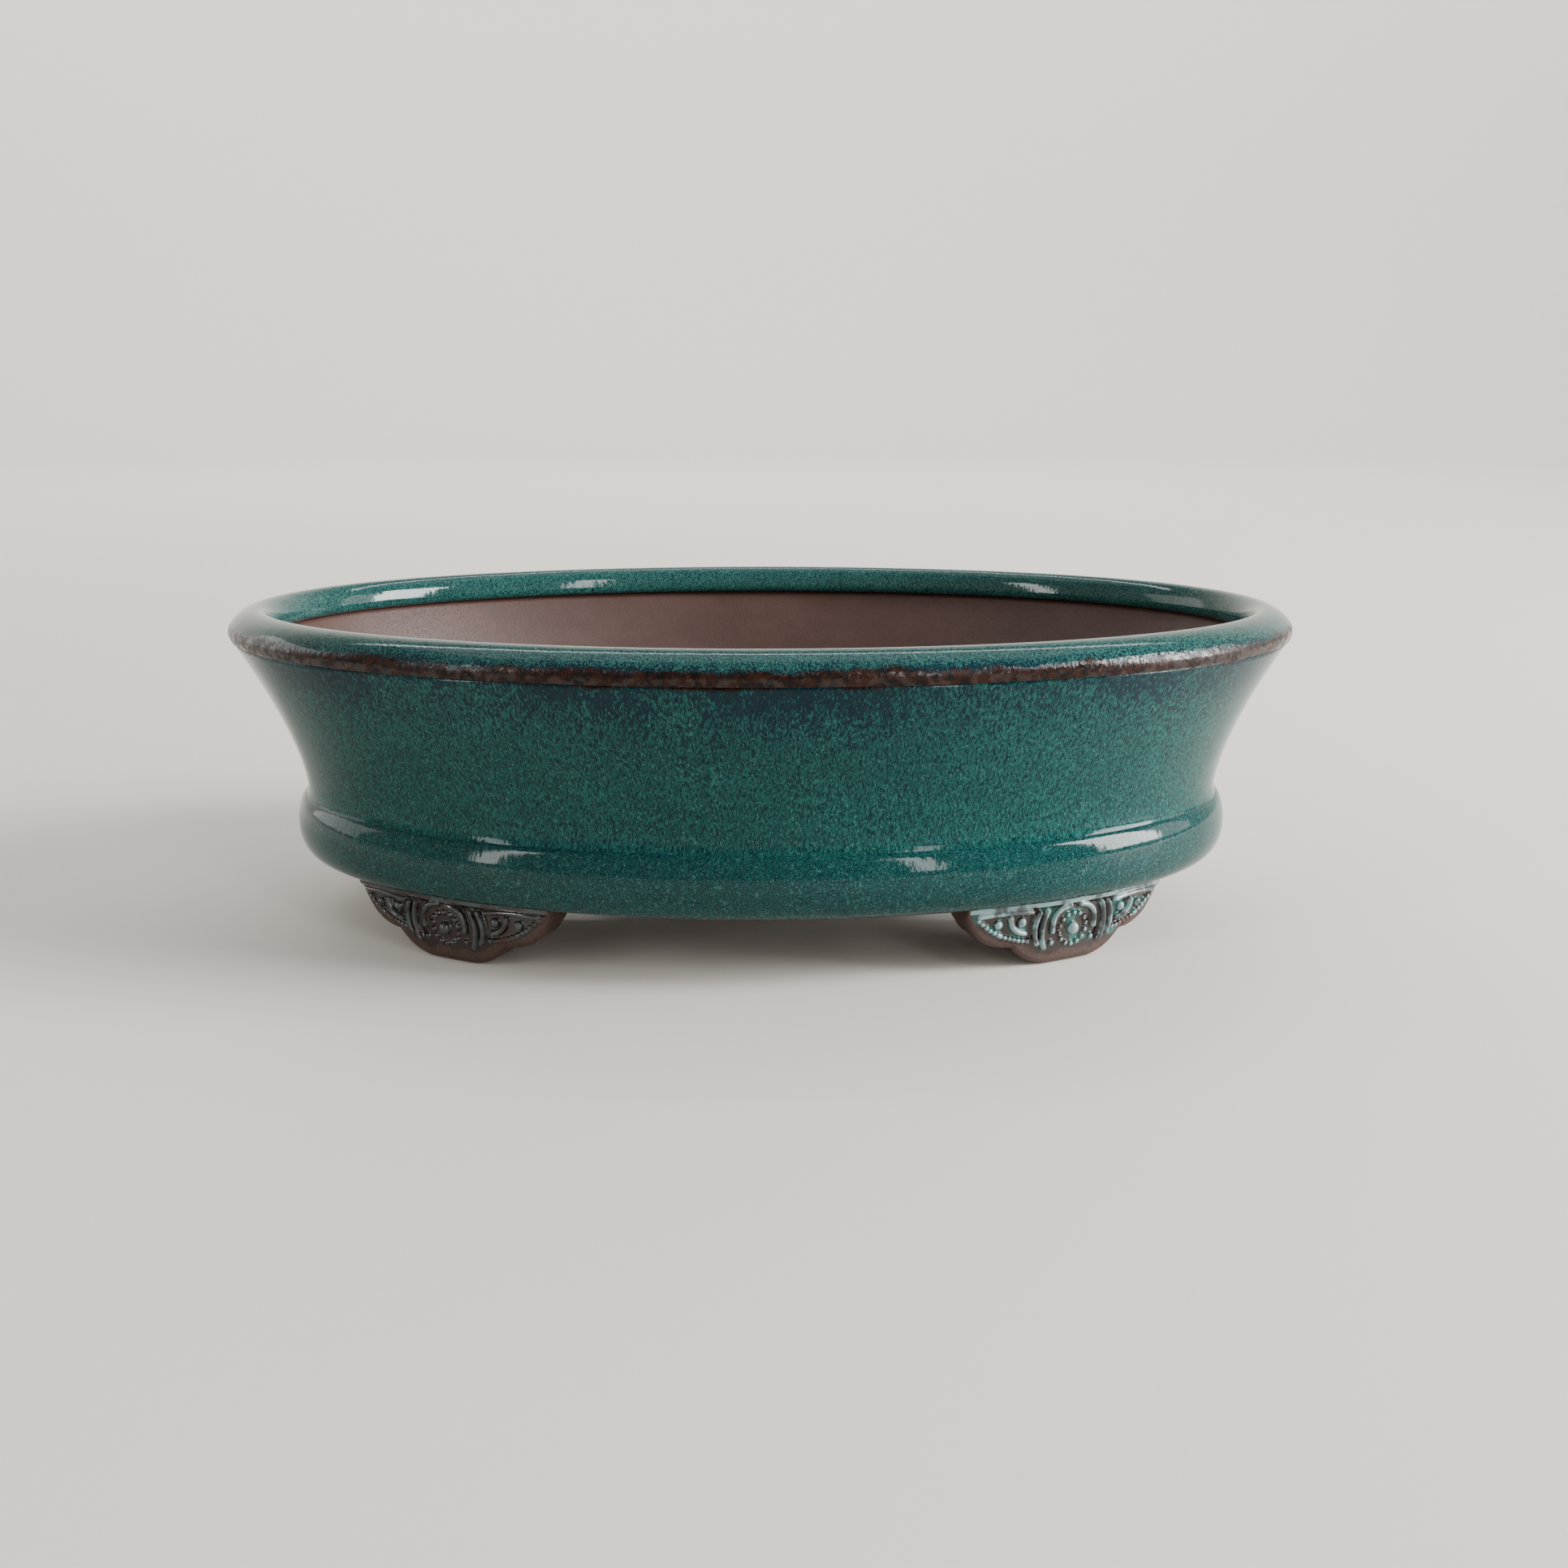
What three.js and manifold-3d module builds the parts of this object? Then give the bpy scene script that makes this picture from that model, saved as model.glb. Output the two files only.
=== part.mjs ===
// An oval bonsai pot in glazed stoneware: a flared wall on a pierced floor slab, a rolled lip on the
// wall, a half-round belt in a rebate round its foot, and four cloud feet, each with a relief on its
// outer face.
// Millimetres, +Z up, +X along the length, the front at -Y. The origin is on the table, under the middle.
import * as THREE from "three";
import { TessellateModifier } from "three/addons/modifiers/TessellateModifier.js";
import { mergeVertices } from "three/addons/utils/BufferGeometryUtils.js";
import Module from "manifold-3d";

// Driving dimensions. Every offset is measured outwards from the neck oval, the wall's narrowest outline.
const NECK_HALF_LENGTH = 71.7;
const NECK_HALF_WIDTH = 45.7;
const FOOT_HEIGHT = 10;
const FLOOR_THICKNESS = 5.5;
const BELT_HEIGHT = 9.5;
const NECK_HEIGHT = 21; // the height at which the flare begins
const LIP_HEIGHT = 44; // the lip's flat underside, seated on the wall
const CREST_HEIGHT = 48.4;
const FLARE = 9.9; // how far the wall leans out between neck and lip
const FLARE_POWER = 1.42;
const WALL_THICKNESS = 5;
const REBATE_DEPTH = 2; // the step that the belt is seated in
const BELT_BULGE = 1.7; // how far the belt stands proud of the neck
const LIP_OVERHANG = 0.4; // the lip beyond the wall, outside
const LIP_INNER_OVERHANG = 1.5; // the lip beyond the wall, inside
const SLIP_JOINT = 0.15; // the width of a joint between curved faces

const DRAIN_HOLE_RADIUS = 7;
const DRAIN_HOLE_SPACING = 62;
const WIRE_HOLE_RADIUS = 2;
const WIRE_HOLE_SPACING_X = 34;
const WIRE_HOLE_SPACING_Y = 46;

const FOOT_LENGTH = 35.6; // along the oval
const FOOT_ARC_FROM_END = 45.6; // from the oval's pointed end to the foot's middle, along the oval
const FOOT_TOE_LENGTH = 8; // the flat that stands on the table
const FOOT_FACE_TOP = -1.7; // offset of the foot's outer face at its top
const FOOT_FACE_BATTER = 0.13; // how far the face leans in for each millimetre down
const FOOT_DEPTH = 8; // from the outer face to the inner one
const RELIEF_PLATE = 0.45; // thickness of the relief's ground
const RELIEF_RIDGE = 1.05; // how far its ridges stand out from the foot's face
const RELIEF_MARGIN = 0.9; // the bare clay round it
const RIDGE_WIDTH = 0.8;
const BOSS_HEIGHT = 5.2; // the round boss in the middle of the relief
const BOSS_RADIUS = 2.4;

const RING_SEGMENTS = 72;
const FLOOR_HEIGHT = FOOT_HEIGHT + FLOOR_THICKNESS;
const BELT_TOP = FOOT_HEIGHT + BELT_HEIGHT;

const TEAL_GLAZE = new THREE.MeshStandardMaterial({ color: 0x1f6a62, roughness: 0.12, metalness: 0 });
const LIP_GLAZE = new THREE.MeshStandardMaterial({ color: 0x3d7f78, roughness: 0.12, metalness: 0 });
const RAW_CLAY = new THREE.MeshStandardMaterial({ color: 0x4a2f28, roughness: 0.85, metalness: 0 });
const FOOT_CLAY = new THREE.MeshStandardMaterial({ color: 0x5a3526, roughness: 0.45, metalness: 0 });
const RELIEF_GLAZE = new THREE.MeshStandardMaterial({ color: 0x4f6a62, roughness: 0.15, metalness: 0 });

const oval = new THREE.EllipseCurve(0, 0, NECK_HALF_LENGTH, NECK_HALF_WIDTH);
oval.arcLengthDivisions = 1440;
const PERIMETER = oval.getLength();

// The unit vector square to the oval, pointing out of it, at the turn fraction t.
function outward(t) {
  const angle = t * Math.PI * 2;
  const x = NECK_HALF_WIDTH * Math.cos(angle);
  const y = NECK_HALF_LENGTH * Math.sin(angle);
  return new THREE.Vector2(x, y).normalize();
}

// The point at the turn fraction t that stands this far outside the oval.
function ovalPoint(t, offset) {
  return oval.getPoint(t).addScaledVector(outward(t), offset);
}

// A ring with this closed section of (offset, height) points, swept round the oval.
function ovalRing(section) {
  const LATHE_RADIUS = 100; // the lathe turns the section at this radius, before its points move to the oval
  const closed = [...section, section[0]];
  const profile = closed.map(([offset, height]) => new THREE.Vector2(LATHE_RADIUS + offset, height));
  const ring = new THREE.LatheGeometry(profile, RING_SEGMENTS);
  const position = ring.getAttribute("position");
  for (let i = 0; i < position.count; i++) {
    const radius = Math.hypot(position.getX(i), position.getZ(i));
    const step = Math.floor(i / profile.length) % RING_SEGMENTS;
    const placed = ovalPoint(step / RING_SEGMENTS, radius - LATHE_RADIUS);
    position.setXYZ(i, placed.x, placed.y, position.getY(i));
  }
  return weld(ring);
}

// Only positions, with shared corners, so that a solid's faces join.
function weld(geometry) {
  geometry.deleteAttribute("normal");
  geometry.deleteAttribute("uv");
  const welded = mergeVertices(geometry, 1e-4);
  welded.computeVertexNormals();
  return welded;
}

// Points on part of an ellipse about (x, y), from one angle to another, in degrees.
function arc(x, y, radiusX, radiusY, from, to, steps) {
  const points = [];
  for (let i = 0; i <= steps; i++) {
    const angle = THREE.MathUtils.degToRad(from + ((to - from) * i) / steps);
    points.push([x + radiusX * Math.cos(angle), y + radiusY * Math.sin(angle)]);
  }
  return points;
}

// A flat shape given this depth, with this many straight steps in each of its curves.
function extrude(shape, depth, curveSegments = 12) {
  return new THREE.ExtrudeGeometry(shape, { depth, curveSegments, bevelEnabled: false });
}

// How far the wall's outer face stands outside the neck at this height.
function flareAt(height) {
  const rise = Math.max(0, height - NECK_HEIGHT) / (LIP_HEIGHT - NECK_HEIGHT);
  return FLARE * Math.pow(rise, FLARE_POWER);
}

function wallSection() {
  const FLARE_STEPS = 7;
  const outside = [
    [-REBATE_DEPTH, FLOOR_HEIGHT],
    [-REBATE_DEPTH, BELT_TOP],
    [0, BELT_TOP],
  ];
  const inside = [];
  for (let i = 0; i <= FLARE_STEPS; i++) {
    const height = NECK_HEIGHT + ((LIP_HEIGHT - NECK_HEIGHT) * i) / FLARE_STEPS;
    outside.push([flareAt(height), height]);
    inside.push([flareAt(height) - WALL_THICKNESS, height]);
  }
  inside.unshift([-WALL_THICKNESS, FLOOR_HEIGHT]);
  return [...outside, ...inside.reverse()];
}

function lipSection() {
  const outer = FLARE + LIP_OVERHANG;
  const inner = FLARE - WALL_THICKNESS - LIP_INNER_OVERHANG;
  const middle = (outer + inner) / 2;
  const halfWidth = (outer - inner) / 2;
  const ARRIS = 0.8; // the height of the lip's lower corners
  const rise = CREST_HEIGHT - LIP_HEIGHT - ARRIS;
  return [
    [outer - LIP_OVERHANG, LIP_HEIGHT],
    ...arc(middle, LIP_HEIGHT + ARRIS, halfWidth, rise, 0, 180, 12),
    [inner + ARRIS, LIP_HEIGHT],
  ];
}

function beltSection() {
  const inner = SLIP_JOINT - REBATE_DEPTH;
  const EDGE = 0.25; // the belt's top edge beyond the neck
  const UNDERCUT = -1.3; // the offset at which the belt's flat underside ends
  const middle = FOOT_HEIGHT + BELT_HEIGHT / 2;
  const halfHeight = BELT_HEIGHT / 2;
  const lower = arc(UNDERCUT, middle, BELT_BULGE - UNDERCUT, halfHeight, -90, 0, 6);
  const upper = arc(EDGE, middle, BELT_BULGE - EDGE, halfHeight, 0, 90, 4);
  return [[inner, FOOT_HEIGHT], ...lower, ...upper.slice(1), [inner, BELT_TOP]];
}

// The floor slab, with two drain holes on the long axis and four holes for tie wires.
function floorSlab() {
  const rim = [];
  for (let i = 0; i < RING_SEGMENTS; i++) rim.push(ovalPoint(i / RING_SEGMENTS, -REBATE_DEPTH));
  const outline = new THREE.Shape(rim);
  const hole = (x, y, radius) => new THREE.Path().absarc(x, y, radius, 0, Math.PI * 2, true);
  for (const side of [-1, 1]) {
    outline.holes.push(hole((side * DRAIN_HOLE_SPACING) / 2, 0, DRAIN_HOLE_RADIUS));
    for (const end of [-1, 1]) {
      const x = (end * WIRE_HOLE_SPACING_X) / 2;
      const y = (side * WIRE_HOLE_SPACING_Y) / 2;
      outline.holes.push(hole(x, y, WIRE_HOLE_RADIUS));
    }
  }
  const slab = extrude(outline, FLOOR_THICKNESS, 10);
  slab.translate(0, 0, FOOT_HEIGHT);
  return weld(slab);
}

// The cloud foot's front view: a flat top, a lobe that tapers to each end and a toe in the middle.
// inset draws the same outline that much smaller. Lengths along it are shares of the half length.
function footOutline(inset = 0) {
  const end = FOOT_LENGTH / 2 - inset;
  const top = FOOT_HEIGHT - inset;
  const toe = FOOT_TOE_LENGTH / 2;
  const notch = { x: end * 0.56 - inset / 2, y: 3.2 + inset };
  const tip = { x: end * 0.92, y: 6.2 };
  const TOP_STEPS = 8;
  const half = [
    [end * 0.43, 0.3 + inset, notch.x, notch.y], // the toe's side
    [end * 0.82, notch.y, tip.x, tip.y], // the lobe's underside
    [end, 7.8, end, top], // the lobe's end
  ];
  const shape = new THREE.Shape();
  shape.moveTo(-toe, inset);
  shape.lineTo(toe, inset);
  for (const [controlX, controlY, x, y] of half) shape.quadraticCurveTo(controlX, controlY, x, y);
  for (let i = 1; i < TOP_STEPS; i++) shape.lineTo(end - (2 * end * i) / TOP_STEPS, top);
  shape.lineTo(-end, top);
  for (let i = half.length - 1; i >= 0; i--) {
    const [controlX, controlY] = half[i];
    const [x, y] = i > 0 ? half[i - 1].slice(2) : [toe, inset];
    shape.quadraticCurveTo(-controlX, controlY, -x, y);
  }
  return shape;
}

// Bends a geometry drawn flat, with x along the oval, y up and z outwards, round the oval.
// z = 0 goes to the foot's outer face, which leans in towards the table.
function bendAroundOval(flat, arcToMiddle) {
  const LONGEST_EDGE = 6;
  const PASSES = 12;
  const geometry = new TessellateModifier(LONGEST_EDGE, PASSES).modify(flat);
  const position = geometry.getAttribute("position");
  for (let i = 0; i < position.count; i++) {
    const along = (arcToMiddle + position.getX(i)) / PERIMETER;
    const height = position.getY(i);
    const face = FOOT_FACE_TOP - FOOT_FACE_BATTER * (FOOT_HEIGHT - height);
    const placed = ovalPoint(oval.getUtoTmapping(along), face + position.getZ(i));
    position.setXYZ(i, placed.x, placed.y, height);
  }
  return weld(geometry);
}

function footBlock(arcToMiddle) {
  const block = extrude(footOutline(), FOOT_DEPTH, 4);
  block.translate(0, 0, -FOOT_DEPTH);
  return bendAroundOval(block, arcToMiddle);
}

const wasm = await Module();
wasm.setup();

function toSolid(geometry) {
  const welded = weld(geometry);
  return new wasm.Manifold(
    new wasm.Mesh({
      numProp: 3,
      vertProperties: welded.getAttribute("position").array,
      triVerts: new Uint32Array(welded.index.array),
    }),
  );
}

function fromSolid(solid) {
  const mesh = solid.getMesh();
  const geometry = new THREE.BufferGeometry();
  geometry.setAttribute("position", new THREE.Float32BufferAttribute(mesh.vertProperties, 3));
  geometry.setIndex([...mesh.triVerts]);
  return geometry;
}

// A ridge of the relief: a flat stroke along a curve, in this many steps.
function ridge(curve, steps) {
  const left = [];
  const right = [];
  curve.getPoints(steps).forEach((point, i) => {
    const tangent = curve.getTangent(i / steps);
    const square = new THREE.Vector2(-tangent.y, tangent.x).multiplyScalar(RIDGE_WIDTH / 2);
    left.push(point.clone().add(square));
    right.push(point.clone().sub(square));
  });
  return extrude(new THREE.Shape([...left, ...right.reverse()]), RELIEF_RIDGE);
}

// The ridge that runs round the boss.
function bossRing() {
  const ring = new THREE.Shape();
  ring.absarc(0, BOSS_HEIGHT, BOSS_RADIUS + RIDGE_WIDTH / 2, 0, Math.PI * 2);
  const opening = new THREE.Path();
  opening.absarc(0, BOSS_HEIGHT, BOSS_RADIUS - RIDGE_WIDTH / 2, 0, Math.PI * 2, true);
  ring.holes.push(opening);
  return extrude(ring, RELIEF_RIDGE, 8);
}

function bead(x, y, radius) {
  const ball = new THREE.SphereGeometry(radius, 7, 5);
  ball.translate(x, y, RELIEF_PLATE);
  return ball;
}

// A curve from one point to another that leans towards the point between them, on one side of the foot.
function bend(side, ...points) {
  return new THREE.QuadraticBezierCurve(...points.map(([x, y]) => new THREE.Vector2(side * x, y)));
}

// The relief, drawn flat in millimetres along the foot and up from the table: a plate with a round boss,
// and on each side of it a bar, two leaf edges and two beads.
function reliefSolid() {
  const pieces = [bossRing(), bead(0, BOSS_HEIGHT, 1)];
  for (const side of [-1, 1]) {
    pieces.push(ridge(bend(side, [4.9, 8.5], [6, 5.6], [4.9, 2.9]), 3));
    pieces.push(ridge(bend(side, [7, 7.4], [10.5, 10], [13.6, 6.8]), 4));
    pieces.push(ridge(bend(side, [7.2, 5.2], [9.6, 4.9], [13.6, 6.4]), 3));
    pieces.push(bead(side * 15.2, 7.4, 0.7), bead(side * 9.6, 6.7, 0.7));
  }
  const plate = toSolid(extrude(footOutline(RELIEF_MARGIN), RELIEF_PLATE, 3));
  return pieces.reduce((solid, piece) => solid.add(toSolid(piece)), plate).trimByPlane([0, 0, 1], 0);
}

function footRelief(arcToMiddle) {
  const relief = fromSolid(reliefSolid());
  relief.translate(0, 0, SLIP_JOINT);
  return bendAroundOval(relief, arcToMiddle);
}

function sub(name, geometry, material) {
  const mesh = new THREE.Mesh(geometry, material);
  mesh.name = name;
  return mesh;
}

const pot = new THREE.Group();
pot.add(sub("floor_slab", floorSlab(), RAW_CLAY));
pot.add(sub("body_wall", ovalRing(wallSection()), TEAL_GLAZE));
pot.add(sub("rim_lip", ovalRing(lipSection()), LIP_GLAZE));
pot.add(sub("belt_band", ovalRing(beltSection()), TEAL_GLAZE));

const feet = {
  back_right: FOOT_ARC_FROM_END,
  back_left: PERIMETER / 2 - FOOT_ARC_FROM_END,
  front_left: PERIMETER / 2 + FOOT_ARC_FROM_END,
  front_right: PERIMETER - FOOT_ARC_FROM_END,
};
for (const [place, arcToMiddle] of Object.entries(feet)) {
  pot.add(sub(`foot_${place}`, footBlock(arcToMiddle), FOOT_CLAY));
  pot.add(sub(`foot_relief_${place}`, footRelief(arcToMiddle), RELIEF_GLAZE));
}

export default pot;
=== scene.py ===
import math

import bmesh
import bpy
import numpy as np
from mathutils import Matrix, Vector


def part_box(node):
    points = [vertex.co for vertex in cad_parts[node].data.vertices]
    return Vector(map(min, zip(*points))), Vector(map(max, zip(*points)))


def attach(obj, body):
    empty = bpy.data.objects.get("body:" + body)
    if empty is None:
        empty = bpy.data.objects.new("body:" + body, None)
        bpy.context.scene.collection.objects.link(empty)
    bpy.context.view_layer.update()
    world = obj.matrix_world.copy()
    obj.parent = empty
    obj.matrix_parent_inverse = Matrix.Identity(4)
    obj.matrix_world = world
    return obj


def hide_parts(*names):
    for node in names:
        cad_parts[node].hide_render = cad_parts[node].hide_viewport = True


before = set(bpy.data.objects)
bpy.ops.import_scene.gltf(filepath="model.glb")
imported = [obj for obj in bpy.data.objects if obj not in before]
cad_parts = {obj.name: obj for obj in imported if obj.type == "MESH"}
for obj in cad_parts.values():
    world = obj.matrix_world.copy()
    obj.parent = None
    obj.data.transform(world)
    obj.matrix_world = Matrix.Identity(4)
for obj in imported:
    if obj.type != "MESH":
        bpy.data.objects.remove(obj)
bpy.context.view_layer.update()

MM = 0.001

# Driving dimensions, in millimetres. Offsets are measured outwards from the neck oval, which is the
# oval round the outside of the wall where it is narrowest.
_, WALL_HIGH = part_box("body_wall")
LIP_LOW, LIP_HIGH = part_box("rim_lip")
_, BELT_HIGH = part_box("belt_band")
SLAB_LOW, SLAB_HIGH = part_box("floor_slab")
FLARE = 9.9
FLARE_POWER = 1.42
NECK_HALF_LENGTH = WALL_HIGH.x / MM - FLARE
NECK_HALF_WIDTH = WALL_HIGH.y / MM - FLARE
NECK_HEIGHT = 21.0
FLOOR_HEIGHT = SLAB_HIGH.z / MM
FOOT_HEIGHT = SLAB_LOW.z / MM
LIP_HEIGHT = LIP_LOW.z / MM
CREST_HEIGHT = LIP_HIGH.z / MM
BELT_TOP = BELT_HIGH.z / MM
BELT_BULGE = BELT_HIGH.x / MM - NECK_HALF_LENGTH
LIP_OUTER = LIP_HIGH.x / MM - NECK_HALF_LENGTH
WALL_THICKNESS = 5.0
LIP_OVERHANG = 1.5
LIP_INNER = FLARE - WALL_THICKNESS - LIP_OVERHANG
SLAB_OFFSET = SLAB_HIGH.x / MM - NECK_HALF_LENGTH
# The belt's back and the foot of the wall behind it meet at this offset.
BELT_BACK = -1.8

DRAIN_HOLE_RADIUS = 7.0
DRAIN_HOLE_SPACING = 62.0
WIRE_HOLE_RADIUS = 2.0
WIRE_HOLE_SPACING = (34.0, 46.0)

FOOT_HALF_LENGTH = 17.8
FOOT_ARC_FROM_END = 45.6
FOOT_TOE_HALF_LENGTH = 4.0
FOOT_FACE_TOP = -1.7
FOOT_FACE_BATTER = 0.13
FOOT_DEPTH = 8.0
BOSS_HEIGHT = 5.2
BOSS_RADIUS = 2.4
BOSS_BEADS = 14

AROUND = 360


# ---------------------------------------------------------------- shapes


def oval(angle, offset):
    """Points this far outside the neck oval, square to it, at these angles."""
    x = NECK_HALF_LENGTH * np.cos(angle)
    y = NECK_HALF_WIDTH * np.sin(angle)
    nx = NECK_HALF_WIDTH * np.cos(angle)
    ny = NECK_HALF_LENGTH * np.sin(angle)
    length = np.hypot(nx, ny)
    return x + offset * nx / length, y + offset * ny / length


ARC_ANGLES = np.linspace(0, 2 * math.pi, 7201)
ARC_STEPS = np.hypot(*(np.diff(c) for c in oval(ARC_ANGLES, 0.0)))
ARC_LENGTHS = np.concatenate([[0.0], np.cumsum(ARC_STEPS)])
PERIMETER = ARC_LENGTHS[-1]


def angle_at(along):
    """The oval's angle at this length along it, counted from its end at +X."""
    return np.interp(along, ARC_LENGTHS, ARC_ANGLES)


def grid_mesh(name, x, y, z, close_ends=False):
    """A closed surface from grids in millimetres: each row is a loop, and rows close on themselves
    unless close_ends puts a cap on the first and the last."""
    rows, columns = x.shape
    points = np.stack([x, y, z], axis=-1).reshape(-1, 3) * MM
    faces = []
    for i in range(rows - 1 if close_ends else rows):
        for j in range(columns):
            a = i * columns + j
            b = i * columns + (j + 1) % columns
            above = ((i + 1) % rows) * columns
            faces.append((a, b, above + (j + 1) % columns, above + j))
    if close_ends:
        faces.append(tuple(reversed(range(columns))))
        faces.append(tuple((rows - 1) * columns + j for j in range(columns)))
    mesh = bpy.data.meshes.new(name)
    mesh.from_pydata(points.tolist(), [], faces)
    turn_faces_out(mesh)
    for polygon in mesh.polygons:
        polygon.use_smooth = True
    piece = bpy.data.objects.new(name, mesh)
    bpy.context.collection.objects.link(piece)
    return piece


def turn_faces_out(mesh, join_points=False):
    """Turns every face outwards, once any points that lie on each other are joined."""
    solid = bmesh.new()
    solid.from_mesh(mesh)
    if join_points:
        bmesh.ops.remove_doubles(solid, verts=solid.verts, dist=0.001 * MM)
    bmesh.ops.recalc_face_normals(solid, faces=solid.faces)
    solid.to_mesh(mesh)
    solid.free()


def bezier(p0, p1, p2, steps=24):
    """Points on a curve from p0 to p2 that leans towards p1."""
    t = np.linspace(0, 1, steps)[:, None]
    p0, p1, p2 = (np.array(p, float) for p in (p0, p1, p2))
    return (1 - t) ** 2 * p0 + 2 * t * (1 - t) * p1 + t**2 * p2


def arc(x, z, radius_x, radius_z, start, end, steps):
    """Points round an ellipse about (x, z), from one angle in degrees to another."""
    angles = np.radians(np.linspace(start, end, steps + 1))
    return [(x + radius_x * math.cos(a), z + radius_z * math.sin(a)) for a in angles]


def wobble(angle, height, size):
    """A slow unevenness of hand-made walls, in millimetres."""
    waves = np.sin(3 * angle + 0.7)
    waves = waves + 0.7 * np.sin(7 * angle + height * 0.11)
    waves = waves + 0.4 * np.sin(17 * angle - height * 0.2)
    return size * waves / 2.1


def store(piece, name, kind, values):
    """Keeps one number or vector for each point of the mesh, for its material to read."""
    attribute = piece.data.attributes.new(name, kind, "POINT")
    key = "vector" if kind == "FLOAT_VECTOR" else "value"
    attribute.data.foreach_set(key, values.astype(np.float32).ravel())


def swept_ring(name, section, unevenness=0.0):
    """A closed section of (offset, height) points, anticlockwise, swept round the oval.
    Each point keeps its place on the glaze, which is its place on the neck oval and the length up the
    section, and how near it is to the outside of the ring."""
    offsets, heights = (np.array(c) for c in zip(*section))
    angles = np.linspace(0, 2 * math.pi, AROUND, endpoint=False)
    grid_angle, grid_offset = np.meshgrid(angles, offsets, indexing="ij")
    grid_height = np.broadcast_to(heights, grid_angle.shape)
    x, y = oval(grid_angle, grid_offset - np.abs(wobble(grid_angle, grid_height, unevenness)))
    ring = grid_mesh(name, x, y, grid_height)
    steps = np.hypot(np.diff(offsets), np.diff(heights))
    length = np.broadcast_to(np.concatenate([[0.0], np.cumsum(steps)]), grid_angle.shape)
    store(ring, "glaze_place", "FLOAT_VECTOR", np.stack([*oval(grid_angle, 0.0), length], axis=-1))
    outside = (grid_offset - offsets.min()) / (offsets.max() - offsets.min())
    store(ring, "outside", "FLOAT", outside)
    return ring


def flare_at(height):
    """The offset of the wall's outside at this height."""
    rise = max(0.0, height - NECK_HEIGHT) / (LIP_HEIGHT - NECK_HEIGHT)
    return FLARE * rise**FLARE_POWER


def wall_piece():
    """The wall, with a cove at its foot that runs down onto the belt."""
    COVE_HEIGHT, COVE_REACH, TUCK = 2.1, 0.8, 0.4
    CORNER_RADIUS = 2.0
    UNEVENNESS = 0.06
    heights = np.linspace(NECK_HEIGHT, LIP_HEIGHT, 28)
    cove_foot = NECK_HEIGHT - COVE_HEIGHT
    outside = [(BELT_BACK, FLOOR_HEIGHT), (BELT_BACK, cove_foot - TUCK)]
    outside += [(COVE_REACH - TUCK, cove_foot - TUCK)]
    outside += arc(COVE_REACH, NECK_HEIGHT, -COVE_REACH, -COVE_HEIGHT, 90, 0, 10)[:-1]
    outside += [(flare_at(h), h) for h in heights]
    inside = [(flare_at(h) - WALL_THICKNESS, h) for h in heights[::-1]]
    corner = (-WALL_THICKNESS - CORNER_RADIUS, FLOOR_HEIGHT + CORNER_RADIUS)
    inside += arc(*corner, CORNER_RADIUS, CORNER_RADIUS, 0, -90, 5)
    return swept_ring("glazed_wall", outside + inside, UNEVENNESS)


def lip_piece():
    """The rolled lip. It slopes outwards from its crest to its sharpest turn, at the outer edge, and
    runs down from there into the wall's flare."""
    UNDER, EDGE, INNER_EDGE = 0.12, 1.1, 0.9
    CREST_SHARE, CREST_PULL, EDGE_PULL = 0.38, 0.5, 0.4
    crest = LIP_INNER + CREST_SHARE * (LIP_OUTER - LIP_INNER)
    spring = LIP_HEIGHT + EDGE
    edge = np.array((LIP_OUTER, spring))
    under = bezier((FLARE + UNDER, LIP_HEIGHT), (LIP_OUTER, LIP_HEIGHT + EDGE / 2), edge, 8)
    t = np.linspace(0, 1, 25)[1:, None]
    edge_pull = edge + (0.0, EDGE_PULL * (CREST_HEIGHT - spring))
    top = np.array((crest, CREST_HEIGHT))
    top_pull = top + (CREST_PULL * (LIP_OUTER - crest), 0.0)
    outer = (1 - t) ** 3 * edge + 3 * t * (1 - t) ** 2 * edge_pull
    outer += 3 * t**2 * (1 - t) * top_pull + t**3 * top
    inner_spring = LIP_HEIGHT + INNER_EDGE
    inner = arc(crest, inner_spring, crest - LIP_INNER, CREST_HEIGHT - inner_spring, 90, 180, 20)[1:]
    inner += arc(LIP_INNER + INNER_EDGE, inner_spring, INNER_EDGE, INNER_EDGE, 180, 270, 6)[1:]
    return swept_ring("rolled_lip", [tuple(p) for p in under] + [tuple(p) for p in outer] + inner)


def belt_piece():
    """The belt: a half round, with a slightly undercut lower edge."""
    UNDERCUT, TOP_EDGE = -1.3, -0.05
    middle = (FOOT_HEIGHT + BELT_TOP) / 2
    half = (BELT_TOP - FOOT_HEIGHT) / 2
    lower = arc(UNDERCUT, middle, BELT_BULGE - UNDERCUT, half, -90, 0, 20)[:-1]
    upper = arc(TOP_EDGE, middle, BELT_BULGE - TOP_EDGE, half, 0, 90, 20)
    section = [(BELT_BACK, FOOT_HEIGHT)] + lower + upper + [(BELT_BACK, BELT_TOP)]
    return swept_ring("half_round_belt", section)


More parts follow.
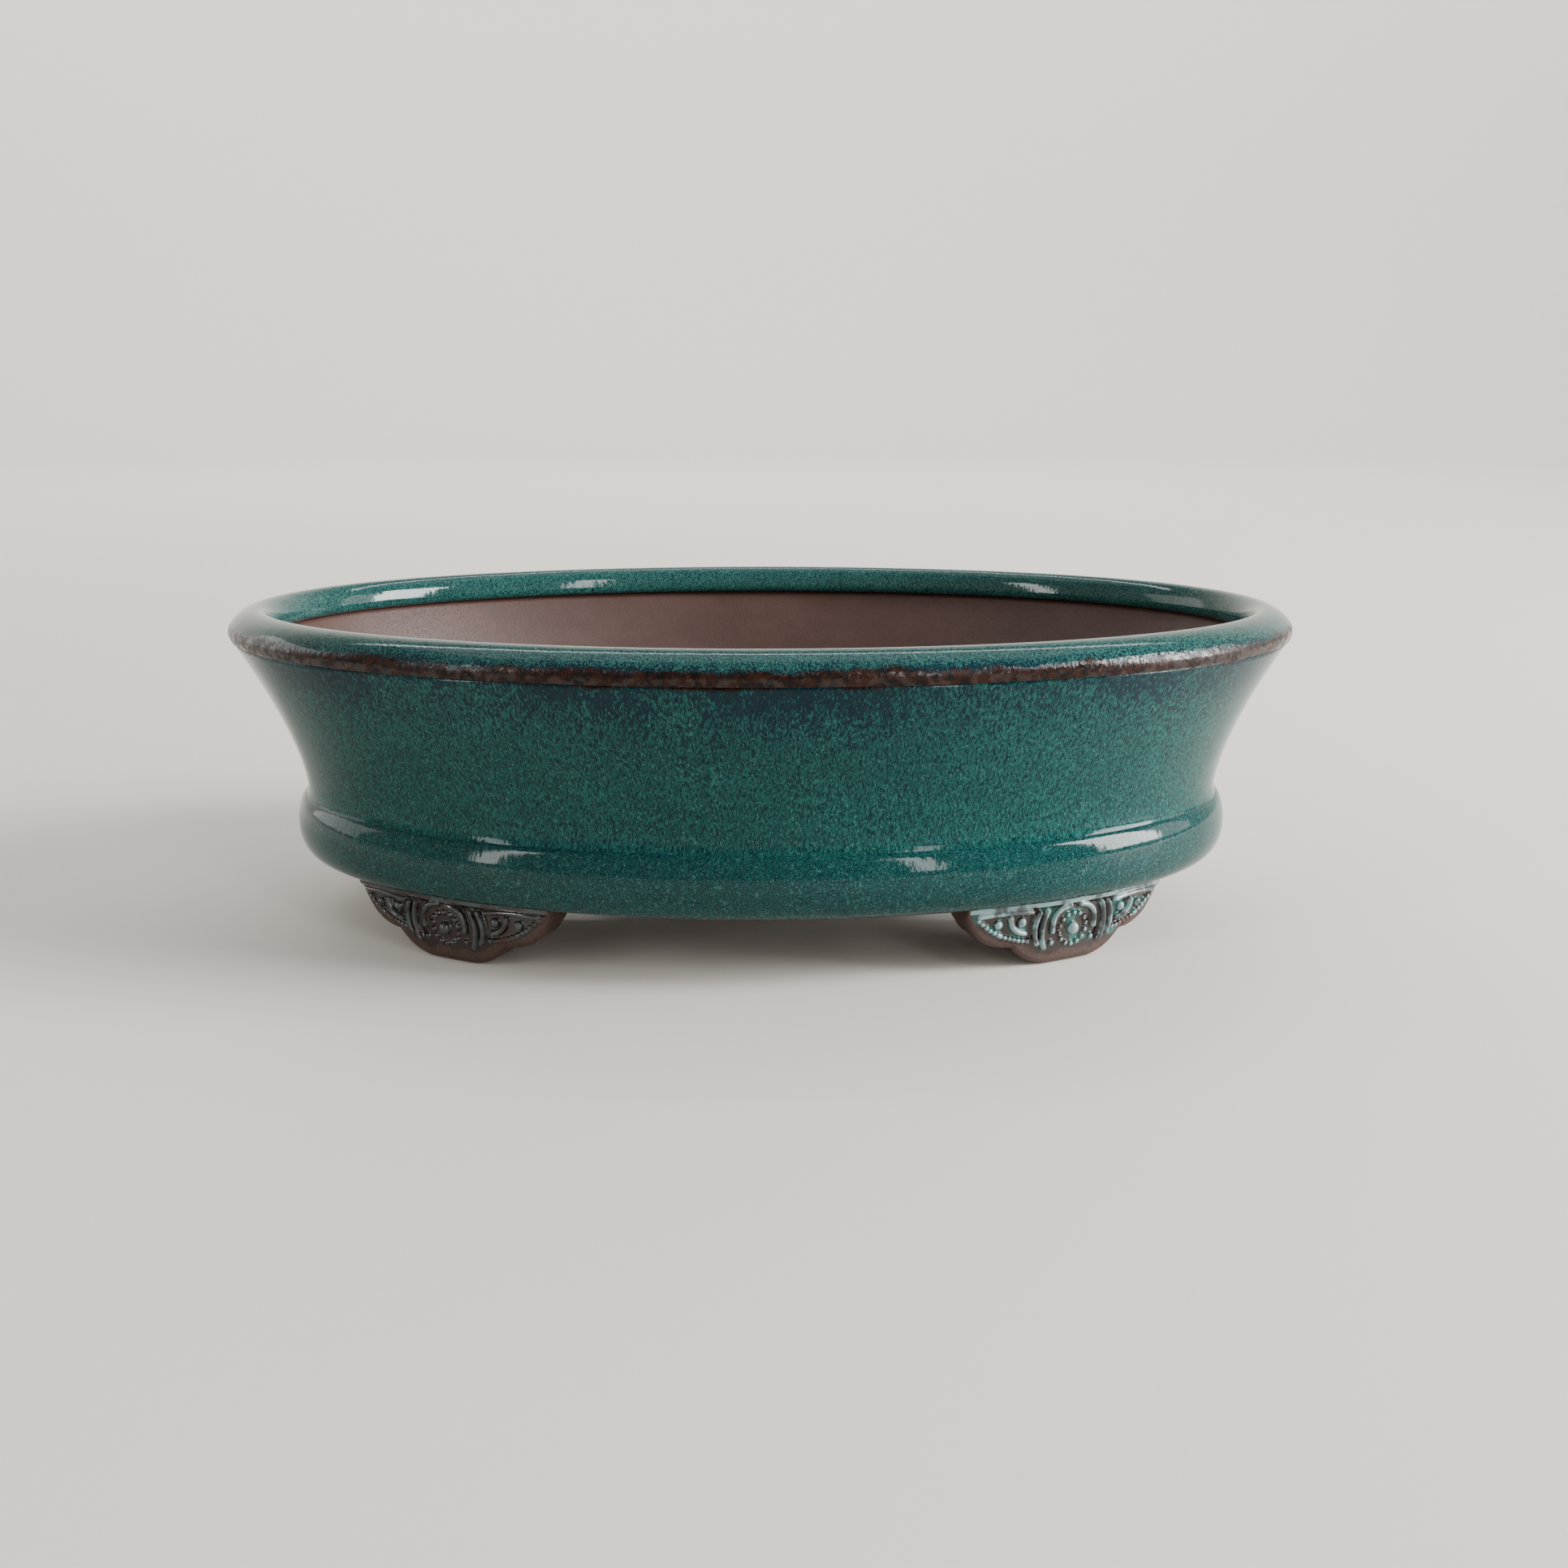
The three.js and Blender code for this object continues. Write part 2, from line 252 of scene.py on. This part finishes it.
def slab_piece():
    """The floor with its holes, from a filled flat curve with rounded edges."""
    ROUND = 0.4
    curve = bpy.data.curves.new("floor_outline", "CURVE")
    curve.dimensions = "2D"
    curve.fill_mode = "BOTH"
    curve.extrude = ((FLOOR_HEIGHT - FOOT_HEIGHT) / 2 - ROUND) * MM
    curve.bevel_depth = ROUND * MM
    curve.bevel_resolution = 3
    curve.offset = -ROUND * MM

    def add_loop(xs, ys):
        spline = curve.splines.new("POLY")
        spline.points.add(len(xs) - 1)
        for point, x, y in zip(spline.points, xs, ys):
            point.co = (x * MM, y * MM, 0, 1)
        spline.use_cyclic_u = True

    angles = np.linspace(0, 2 * math.pi, 180, endpoint=False)
    add_loop(*oval(angles, SLAB_OFFSET))
    circle = np.linspace(0, 2 * math.pi, 48, endpoint=False)
    holes = [(side * DRAIN_HOLE_SPACING / 2, 0.0, DRAIN_HOLE_RADIUS) for side in (-1, 1)]
    for x in (-1, 1):
        for y in (-1, 1):
            holes.append((x * WIRE_HOLE_SPACING[0] / 2, y * WIRE_HOLE_SPACING[1] / 2, WIRE_HOLE_RADIUS))
    for x, y, radius in holes:
        add_loop(x + radius * np.cos(-circle), y + radius * np.sin(-circle))
    source = bpy.data.objects.new("floor_outline", curve)
    bpy.context.collection.objects.link(source)
    depsgraph = bpy.context.evaluated_depsgraph_get()
    mesh = bpy.data.meshes.new_from_object(source.evaluated_get(depsgraph))
    bpy.data.objects.remove(source)
    for vertex in mesh.vertices:
        vertex.co.z += (FLOOR_HEIGHT + FOOT_HEIGHT) / 2 * MM
    turn_faces_out(mesh, join_points=True)
    piece = bpy.data.objects.new("pierced_floor", mesh)
    bpy.context.collection.objects.link(piece)
    return piece


# The relief is drawn flat: s along the foot from its middle, h up from the table, both in millimetres.


def distance_to(s, h, path):
    """How far each point of the foot's face is from the path."""
    nearest = np.full(s.shape, 1e9)
    for (ax, ay), (bx, by) in zip(path[:-1], path[1:]):
        dx, dy = bx - ax, by - ay
        t = np.clip(((s - ax) * dx + (h - ay) * dy) / (dx * dx + dy * dy), 0, 1)
        nearest = np.minimum(nearest, np.hypot(s - ax - t * dx, h - ay - t * dy))
    return nearest


def bead_chain(path, count):
    """This many evenly picked points of the path."""
    steps = np.linspace(0, len(path) - 1, count).round().astype(int)
    return [tuple(path[i]) for i in steps]


def relief_features():
    """Ridges as (path, half width, height) and beads as (s, h, radius), for both halves of the foot."""
    ridges = []
    beads = [(0.0, BOSS_HEIGHT, 1.0)]
    for turn in np.linspace(0, 2 * math.pi, BOSS_BEADS, endpoint=False):
        beads.append((BOSS_RADIUS * math.sin(turn), BOSS_HEIGHT + BOSS_RADIUS * math.cos(turn), 0.46))
    for side in (-1, 1):
        ridges.append((bezier((side * 0.9, 8.9), (side * 4.2, 8.6), (side * 3.7, 5.2)), 0.46, 0.85))
        ridges.append((bezier((side * 4.9, 8.5), (side * 6.2, 5.6), (side * 5.0, 2.9)), 0.46, 0.95))
        ridges.append((bezier((side * 6.2, 8.4), (side * 7.4, 5.8), (side * 6.3, 3.7)), 0.46, 0.95))
        ridges.append((bezier((side * 7.5, 8.6), (side * 11.6, 9.2), (side * 15.8, 8.7)), 0.48, 0.8))
        ridges.append((bezier((side * 8.5, 5.5), (side * 10.8, 6.0), (side * 10.9, 8.0)), 0.46, 0.9))
        edge = bezier((side * 7.8, 4.2), (side * 12.4, 4.6), (side * 15.9, 8.1))
        beads += [(s, h, 0.46) for s, h in bead_chain(edge, 13)]
        beads += [(side * 9.0, 7.2, 0.75), (side * 12.8, 7.2, 0.7), (side * 3.6, 3.4, 0.5)]
    return ridges, beads


def relief_height(s, h):
    """(height of the relief, how near the ridges are) at each point of the foot's face."""
    ridges, beads = relief_features()
    height = np.zeros(s.shape)
    nearest = np.full(s.shape, 1e9)
    for path, half_width, tall in ridges:
        d = distance_to(s, h, path)
        height = np.maximum(height, tall * np.sqrt(np.clip(1 - (d / half_width) ** 2, 0, 1)))
        nearest = np.minimum(nearest, d - half_width)
    for x, y, radius in beads:
        d = np.hypot(s - x, h - y)
        height = np.maximum(height, 1.1 * radius * np.sqrt(np.clip(1 - (d / radius) ** 2, 0, 1)))
        nearest = np.minimum(nearest, d - radius)
    pool = np.clip(1 - np.maximum(nearest, 0) / 1.1, 0, 1)
    strip = np.clip((h - 8.8) / 0.5, 0, 1)
    return np.maximum(height, 0.45 * strip), np.maximum(pool, strip)


def foot_underside(s):
    """The height of the cloud outline's lower edge."""
    end = FOOT_HALF_LENGTH
    outline = np.concatenate(
        [
            bezier((FOOT_TOE_HALF_LENGTH, 0), (end * 0.43, 0.3), (end * 0.56, 3.2)),
            bezier((end * 0.56, 3.2), (end * 0.82, 3.2), (end * 0.92, 6.2))[1:],
            bezier((end * 0.92, 6.2), (end, 7.8), (end, FOOT_HEIGHT))[1:],
        ]
    )
    return np.interp(np.abs(s), outline[:, 0], outline[:, 1], left=0.0)


def foot_piece(name, arc_to_middle, glaze_and_painted_light):
    """One foot with its relief, drawn flat and bent round the oval. Each point keeps what its material
    needs: where glaze pools, the relief's height, how far it is above the foot's lower edge, and the
    foot's share of glaze and painted light."""
    LENGTHWAYS, FACE_ROWS, BACK_ROWS = 260, 84, 14
    END_GAP, EDGE_RADIUS = 0.08, 1.0
    reach = FOOT_HALF_LENGTH - END_GAP
    columns = np.linspace(-reach, reach, LENGTHWAYS)
    low = foot_underside(columns)[:, None]
    edge_radius = np.minimum(EDGE_RADIUS, (FOOT_HEIGHT - low) / 2)

    def rows(fractions):
        height = low + (FOOT_HEIGHT - low) * fractions[None, :]
        near = np.clip(1 - (height - low) / edge_radius, 0, 1)
        return height, edge_radius * (1 - np.sqrt(1 - near**2))

    face_height, face_round = rows(np.linspace(1, 0, FACE_ROWS))
    back_height, back_round = rows(np.linspace(0, 1, BACK_ROWS))
    along = np.broadcast_to(columns[:, None], face_height.shape)
    relief, pool = relief_height(along, face_height)
    fade = np.clip((face_height - low - 0.25) / 0.7, 0, 1)
    face_plane = FOOT_FACE_TOP - FOOT_FACE_BATTER * (FOOT_HEIGHT - face_height)
    back_plane = FOOT_FACE_TOP - FOOT_FACE_BATTER * (FOOT_HEIGHT - back_height) - FOOT_DEPTH
    offset = np.concatenate([face_plane + relief * fade - face_round, back_plane + back_round], axis=1)
    height = np.concatenate([face_height, back_height], axis=1)
    angle = angle_at((arc_to_middle + columns) % PERIMETER)[:, None]
    x, y = oval(np.broadcast_to(angle, offset.shape), offset)
    foot = grid_mesh(name, x, y, height, close_ends=True)
    plain = np.zeros(back_height.shape)
    store(foot, "glaze_pool", "FLOAT", np.concatenate([pool * fade, plain], axis=1))
    store(foot, "relief", "FLOAT", np.concatenate([relief * fade, plain], axis=1))
    store(foot, "rise", "FLOAT", np.concatenate([face_height - low, plain], axis=1))
    store(foot, "glaze_and_painted_light", "FLOAT", np.full(offset.shape, glaze_and_painted_light))
    return foot


# ---------------------------------------------------------------- materials


class Shader:
    """One material's node tree, built by short calls."""

    def __init__(self, name, place_attribute=None):
        self.place_attribute = place_attribute
        self.material = bpy.data.materials.new(name)
        self.material.use_nodes = True
        self.nodes = self.material.node_tree.nodes
        self.links = self.material.node_tree.links
        self.surface = self.nodes["Principled BSDF"]

    def connect(self, value, socket):
        if isinstance(value, bpy.types.NodeSocket):
            self.links.new(value, socket)
        else:
            socket.default_value = value

    def attribute(self, name, output="Fac"):
        node = self.nodes.new("ShaderNodeAttribute")
        node.attribute_name = name
        return node.outputs[output]

    def object_place(self):
        """The point's place in millimetres."""
        mapping = self.nodes.new("ShaderNodeMapping")
        mapping.inputs["Scale"].default_value = (1 / MM, 1 / MM, 1 / MM)
        coordinates = self.nodes.new("ShaderNodeTexCoord")
        self.links.new(coordinates.outputs["Object"], mapping.inputs["Vector"])
        return mapping.outputs["Vector"]

    def place(self):
        if self.place_attribute:
            return self.attribute(self.place_attribute, "Vector")
        return self.object_place()

    def height(self):
        separate = self.nodes.new("ShaderNodeSeparateXYZ")
        self.links.new(self.object_place(), separate.inputs[0])
        return separate.outputs["Z"]

    def noise(self, across, up, detail=3.0, roughness=0.55, shift=0.0):
        """Noise with this many features per millimetre across and up the wall."""
        mapping = self.nodes.new("ShaderNodeMapping")
        mapping.inputs["Scale"].default_value = (across, across, up)
        mapping.inputs["Location"].default_value = (shift, shift, shift)
        self.links.new(self.place(), mapping.inputs["Vector"])
        texture = self.nodes.new("ShaderNodeTexNoise")
        texture.inputs["Scale"].default_value = 1.0
        texture.inputs["Detail"].default_value = detail
        texture.inputs["Roughness"].default_value = roughness
        self.links.new(mapping.outputs["Vector"], texture.inputs["Vector"])
        return texture.outputs["Fac"]

    def math(self, operation, a, b):
        node = self.nodes.new("ShaderNodeMath")
        node.operation = operation
        self.connect(a, node.inputs[0])
        self.connect(b, node.inputs[1])
        return node.outputs[0]

    def plus(self, a, b):
        return self.math("ADD", a, b)

    def times(self, a, b):
        return self.math("MULTIPLY", a, b)

    def centred(self, noise, size=1.0):
        """The noise moved to swing either side of zero, over about this range in all."""
        return self.times(self.math("SUBTRACT", noise, 0.5), size)

    def ramp(self, value, low, high, out_low=0.0, out_high=1.0):
        """The value carried smoothly from low..high to out_low..out_high, and held beyond them."""
        node = self.nodes.new("ShaderNodeMapRange")
        node.interpolation_type = "SMOOTHSTEP"
        for socket, number in zip(list(node.inputs)[:5], (value, low, high, out_low, out_high)):
            self.connect(number, socket)
        return node.outputs[0]

    def mix(self, factor, a, b):
        node = self.nodes.new("ShaderNodeMix")
        node.data_type = "RGBA"
        self.connect(factor, node.inputs["Factor"])
        self.connect(a, node.inputs[6])
        self.connect(b, node.inputs[7])
        return node.outputs[2]

    def bump(self, height, strength, distance):
        node = self.nodes.new("ShaderNodeBump")
        node.inputs["Strength"].default_value = strength
        node.inputs["Distance"].default_value = distance * MM
        self.links.new(height, node.inputs["Height"])
        self.links.new(node.outputs["Normal"], self.surface.inputs["Normal"])

    def finish(self, colour, roughness):
        self.connect(colour, self.surface.inputs["Base Color"])
        self.connect(roughness, self.surface.inputs["Roughness"])
        return self.material


def srgb(code):
    """A colour in the shader's linear numbers, from a hex code."""
    parts = [int(code[i : i + 2], 16) / 255 for i in (0, 2, 4)]
    return tuple(p / 12.92 if p <= 0.04045 else ((p + 0.055) / 1.055) ** 2.4 for p in parts) + (1.0,)


WALL_TEAL = srgb("124B47")
WALL_DEEP = srgb("052627")
BELT_TEAL = srgb("083F3E")
BELT_DEEP = srgb("032224")
LIP_TEAL = srgb("27544F")
FOOT_TEAL = srgb("145B54")
PALE_TEAL = srgb("5D938A")
# Milky glaze on the feet's ridges, partly a painted highlight.
MILKY_TEAL_AND_HIGHLIGHT = srgb("8AA5A8")
INK = srgb("051C28")
RUST = srgb("28120A")
RUST_DARK = srgb("0E0706")
FOOT_BROWN = srgb("1E0E08")
FOOT_CLAY = srgb("3F2315")
FOOT_CLAY_DARK = srgb("25140B")
INNER_CLAY = srgb("472F28")
INNER_CLAY_DARK = srgb("3C241C")
CLAY_SPECK = srgb("241410")
FLOOR_COLOUR = srgb("D6D2CA")


def speckled_teal(s, dashes, flecks, teal, deep, spots):
    """The glaze's own colour: dark dashes and slow clouds in the teal, with pale flecks and spots."""
    clouds = s.noise(0.06, 0.1, 2.0, 0.5, 3.0)
    spot_noise = s.noise(1.5, 1.2, 2.0, 0.5, 13.0)
    colour = s.mix(s.ramp(dashes, 0.42, 0.58), teal, deep)
    colour = s.mix(s.ramp(clouds, 0.35, 0.65, 0.0, 0.25), colour, deep)
    colour = s.mix(s.ramp(flecks, 0.54, 0.7, 0.0, 0.34), colour, PALE_TEAL)
    return s.mix(s.ramp(spot_noise, 0.58, 0.74, 0.0, spots), colour, PALE_TEAL)


def ink_cover(s, dashes, span, amount):
    """Where the ink-dark speckles are: denser towards the second height of span, in drifts."""
    level = s.times(s.math("POWER", s.ramp(s.height(), *span), 1.7), amount)
    level = s.times(level, s.ramp(s.attribute("outside"), 0.3, 0.6))
    level = s.times(level, s.ramp(s.noise(0.07, 0.05, 2.0, 0.5, 41.0), 0.35, 0.65, 0.75, 1.3))
    drifts = s.centred(s.noise(0.8, 0.5, 3.0, 0.55, 7.0), 0.34)
    return s.ramp(s.plus(s.plus(dashes, level), drifts), 0.59, 0.7, 0.0, 0.9)


def rust_cover(s, span):
    """Where the glaze has broken to rust: past the heights of span, with a wandering, frayed edge."""
    wander = s.centred(s.noise(0.13, 0.13, 4.0, 0.65, 23.0), 3.0)
    fray = s.centred(s.noise(2.2, 1.1, 3.0, 0.7, 29.0), 1.6)
    edge = s.plus(s.plus(s.height(), wander), fray)
    return s.times(s.ramp(edge, *span), s.ramp(s.attribute("outside"), 0.5, 0.66))


def glaze_over_clay(name, teal, deep, streak, shine, spots=0.1, ink=None, rust_span=None):
    """Teal glaze whose dark dashes are streak times as long as they are wide. ink is the two heights
    between which ink-dark speckles set in, and how dense they get. rust_span is the two heights
    between which the glaze breaks to rust. Both are on the outside only, in millimetres."""
    DASHES, FLECKS, MOST_FLECK_STREAK = 4.6, 6.0, 2.0
    RUST_ROUGHER, RUST_DULLER, PIT_DEPTH = 0.2, 0.45, 2.5
    s = Shader(name, "glaze_place")
    specular = s.surface.inputs["Specular IOR Level"]
    specular.default_value = shine
    dashes = s.noise(DASHES, DASHES / streak, 3.0, 0.62)
    flecks = s.noise(FLECKS, FLECKS / min(streak, MOST_FLECK_STREAK), 2.0, 0.6, 17.0)
    colour = speckled_teal(s, dashes, flecks, teal, deep, spots)
    roughness = s.ramp(flecks, 0.3, 0.7, 0.05, 0.11)
    grain = s.noise(0.6, 0.35, 3.0, 0.6, 11.0)
    if ink:
        low, high, amount = ink
        colour = s.mix(ink_cover(s, dashes, (low, high), amount), colour, INK)
    if rust_span:
        rust = rust_cover(s, rust_span)
        scorch = s.ramp(s.noise(0.9, 0.9, 3.0, 0.6, 37.0), 0.42, 0.6)
        colour = s.mix(rust, colour, s.mix(scorch, RUST, RUST_DARK))
        pits = s.noise(1.6, 1.6, 3.0, 0.6, 31.0)
        grain = s.plus(grain, s.times(pits, s.times(rust, PIT_DEPTH)))
        dull = s.times(rust, s.ramp(s.noise(0.8, 0.8, 2.0, 0.5, 43.0), 0.58, 0.46))
        roughness = s.plus(roughness, s.times(dull, RUST_ROUGHER))
        s.connect(s.ramp(dull, 0.0, 1.0, shine, shine * RUST_DULLER), specular)
    s.bump(grain, 0.25, 0.14)
    return s.finish(colour, roughness)


def raw_clay(name, dark, light, grain):
    """Unglazed clay, cloudy and specked, with this many specks per millimetre."""
    s = Shader(name)
    clouds = s.noise(0.06, 0.12, 4.0, 0.6)
    specks = s.noise(grain, grain, 3.0, 0.7, 5.0)
    colour = s.mix(s.ramp(clouds, 0.25, 0.75), dark, light)
    colour = s.mix(s.ramp(specks, 0.56, 0.72, 0.0, 0.6), colour, CLAY_SPECK)
    s.bump(specks, 0.35, 0.15)
    return s.finish(colour, s.ramp(specks, 0.3, 0.7, 0.42, 0.6))


def foot_finish():
    """Brown glaze over the relief, teal where it pooled, milky glaze and painted highlight on the
    ridges, and bare clay below.
    """
    SHINE, BARE_ROUGHNESS, GLAZED_ROUGHNESS = 0.65, 0.62, 0.07
    s = Shader("foot_clay_and_glaze")
    s.surface.inputs["Specular IOR Level"].default_value = SHINE
    patches = s.centred(s.noise(0.4, 0.4, 2.0, 0.5))
    specks = s.noise(2.2, 2.2, 3.0, 0.7, 5.0)
    bare_clay = s.mix(s.ramp(specks, 0.35, 0.65), FOOT_CLAY, FOOT_CLAY_DARK)
    glazed = s.ramp(s.plus(s.attribute("rise"), s.times(patches, 3.0)), 1.5, 2.3)
    # Each foot's teal and milk follow its share, which is partly glaze and partly painted light and
    # shade.
    glaze_and_light = s.attribute("glaze_and_painted_light")
    pool = s.plus(s.attribute("glaze_pool"), s.times(patches, 4.0))
    teal = s.times(s.ramp(pool, 0.9, 1.35, 0.0, 0.75), glaze_and_light)
    glaze = s.mix(teal, FOOT_BROWN, FOOT_TEAL)
    on_ridges = s.ramp(s.attribute("relief"), 0.25, 0.5)
    # The milky ridge tops are partly milky glaze and partly a painted highlight.
    milk_and_highlight = s.times(on_ridges, s.ramp(patches, -0.12, 0.05, 0.15, 0.8))
    glaze = s.mix(s.times(milk_and_highlight, glaze_and_light), glaze, MILKY_TEAL_AND_HIGHLIGHT)
    s.bump(s.noise(1.3, 1.3, 3.0, 0.6, 2.0), 0.25, 0.12)
    roughness = s.ramp(glazed, 0.0, 1.0, BARE_ROUGHNESS, GLAZED_ROUGHNESS)
    return s.finish(s.mix(glazed, bare_clay, glaze), roughness)


# ---------------------------------------------------------------- the pot


def assign(piece, *materials):
    piece.data.materials.clear()
    for material in materials:
        piece.data.materials.append(material)


def add(piece, slot, *nodes):
    """Puts the piece on the pot's body, in place of these CAD nodes."""
    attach(piece, "root")
    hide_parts(*nodes)


wall_glaze = glaze_over_clay(
    "wall_glaze", WALL_TEAL, WALL_DEEP, 3.2, shine=0.14, ink=(26.0, 44.0, 0.2), rust_span=(43.6, 44.4)
)
belt_glaze = glaze_over_clay("belt_glaze", BELT_TEAL, BELT_DEEP, 1.3, shine=0.21, spots=0.16)
lip_glaze = glaze_over_clay(
    "lip_glaze", LIP_TEAL, WALL_DEEP, 1.3, shine=0.34, ink=(48.3, 45.6, 0.25), rust_span=(46.3, 45.6)
)
inner_clay = raw_clay("unglazed_clay", INNER_CLAY_DARK, INNER_CLAY, 2.4)

# The wall's glaze stops at this height, where the belt hides it.
WALL_GLAZE_FOOT = 18.3
wall = wall_piece()
assign(wall, wall_glaze, inner_clay)
for polygon in wall.data.polygons:
    outward = polygon.center.x * polygon.normal.x + polygon.center.y * polygon.normal.y
    polygon.material_index = 0 if outward > 0 and polygon.center.z > WALL_GLAZE_FOOT * MM else 1
add(wall, "teal_glaze", "body_wall")

lip = lip_piece()
assign(lip, lip_glaze)
add(lip, "lip_glaze", "rim_lip")

belt = belt_piece()
assign(belt, belt_glaze)
add(belt, "teal_glaze", "belt_band")

slab = slab_piece()
assign(slab, inner_clay)
add(slab, "raw_clay", "floor_slab")

foot_material = foot_finish()
# Where each foot's middle is along the oval, and its share of glaze and painted light, from 0, which
# is brown, to 1, which is teal and milky: the front right foot is teal and milky partly as painted
# light, the front left brown partly as painted shade.
FEET = {
    "back_right": (FOOT_ARC_FROM_END, 0.7),
    "back_left": (PERIMETER / 2 - FOOT_ARC_FROM_END, 0.6),
    "front_left": (PERIMETER / 2 + FOOT_ARC_FROM_END, 0.12),
    "front_right": (PERIMETER - FOOT_ARC_FROM_END, 1.0),
}
for place, (arc_to_middle, glaze_and_painted_light) in FEET.items():
    foot = foot_piece(f"cloud_foot_{place}", arc_to_middle, glaze_and_painted_light)
    assign(foot, foot_material)
    add(foot, "foot_clay", f"foot_{place}", f"foot_relief_{place}")


# ---------------------------------------------------------------- floor, light and camera


def studio_floor():
    """A round pale floor that curves up into a wall all the way round."""
    INNER_RADIUS, FLAT_RADIUS, BEND_RADIUS, TOP = 0.6, 1.8, 0.9, 2.6
    BELOW, STEPS, FLOOR_ROUGHNESS = 0.00005, 96, 0.6
    bend = np.linspace(0, math.pi / 2, 24)
    bend_radii = FLAT_RADIUS + BEND_RADIUS * np.sin(bend)
    radii = np.concatenate([[INNER_RADIUS], bend_radii, [FLAT_RADIUS + BEND_RADIUS]])
    heights = np.concatenate([[0.0], BEND_RADIUS * (1 - np.cos(bend)), [TOP]]) - BELOW
    turns = np.linspace(0, 2 * math.pi, STEPS, endpoint=False)
    points = [(r * math.cos(t), r * math.sin(t), z) for r, z in zip(radii, heights) for t in turns]
    faces = [tuple(range(STEPS))]
    for i in range(len(radii) - 1):
        for j in range(STEPS):
            k = (j + 1) % STEPS
            faces.append((i * STEPS + j, (i + 1) * STEPS + j, (i + 1) * STEPS + k, i * STEPS + k))
    mesh = bpy.data.meshes.new("studio_floor")
    mesh.from_pydata(points, [], faces)
    for polygon in mesh.polygons:
        polygon.use_smooth = True
    floor = bpy.data.objects.new("studio_floor", mesh)
    bpy.context.collection.objects.link(floor)
    s = Shader("pale_floor")
    assign(floor, s.finish(FLOOR_COLOUR, FLOOR_ROUGHNESS))


def softbox(name, place, target, size, power):
    """A rectangular area light in metres and watts, facing its target."""
    light = bpy.data.lights.new(name, "AREA")
    light.shape = "RECTANGLE"
    light.size, light.size_y = size
    light.energy = power
    lamp = bpy.data.objects.new(name, light)
    lamp.location = place
    direction = np.array(target) - np.array(place)
    lamp.rotation_euler = (
        math.acos(-direction[2] / np.linalg.norm(direction)),
        0,
        math.atan2(direction[1], direction[0]) - math.pi / 2,
    )
    lamp.visible_camera = False
    bpy.context.collection.objects.link(lamp)


studio_floor()
POT_MIDDLE = (0.0, 0.0, 0.025)
BACKDROP = (0.0, 2.4, 0.5)
softbox("window_right", (0.97, -0.19, 0.42), POT_MIDDLE, (0.4, 0.7), 31.0)
softbox("window_front", (0.53, -0.96, 0.5), POT_MIDDLE, (0.1, 0.8), 3.6)
softbox("window_left", (-0.8, -0.65, 0.45), POT_MIDDLE, (0.11, 0.8), 3.2)
softbox("panel_left", (-1.1, 0.35, 0.35), POT_MIDDLE, (0.7, 0.6), 2.5)
softbox("panel_right", (1.1, 0.1, 0.35), POT_MIDDLE, (0.5, 0.6), 3.0)
softbox("ceiling", (0.0, 0.35, 1.3), POT_MIDDLE, (1.6, 0.9), 3.5)
softbox("backdrop_wash", (0.0, 0.9, 1.6), BACKDROP, (2.4, 0.5), 70.0)

world = bpy.data.worlds.new("studio")
bpy.context.scene.world = world
world.use_nodes = True
background = world.node_tree.nodes["Background"]
background.inputs["Color"].default_value = (0.9, 0.93, 1.0, 1.0)
background.inputs["Strength"].default_value = 0.35

CAMERA_PITCH_DOWN = 12.9
camera_data = bpy.data.cameras.new("camera")
camera_data.sensor_width = 36.0
camera_data.lens = 40.04
camera = bpy.data.objects.new("camera", camera_data)
camera.location = (0.0036, -0.273, 0.08135)
camera.rotation_euler = (math.radians(90 - CAMERA_PITCH_DOWN), 0, 0)
bpy.context.collection.objects.link(camera)
bpy.context.scene.camera = camera
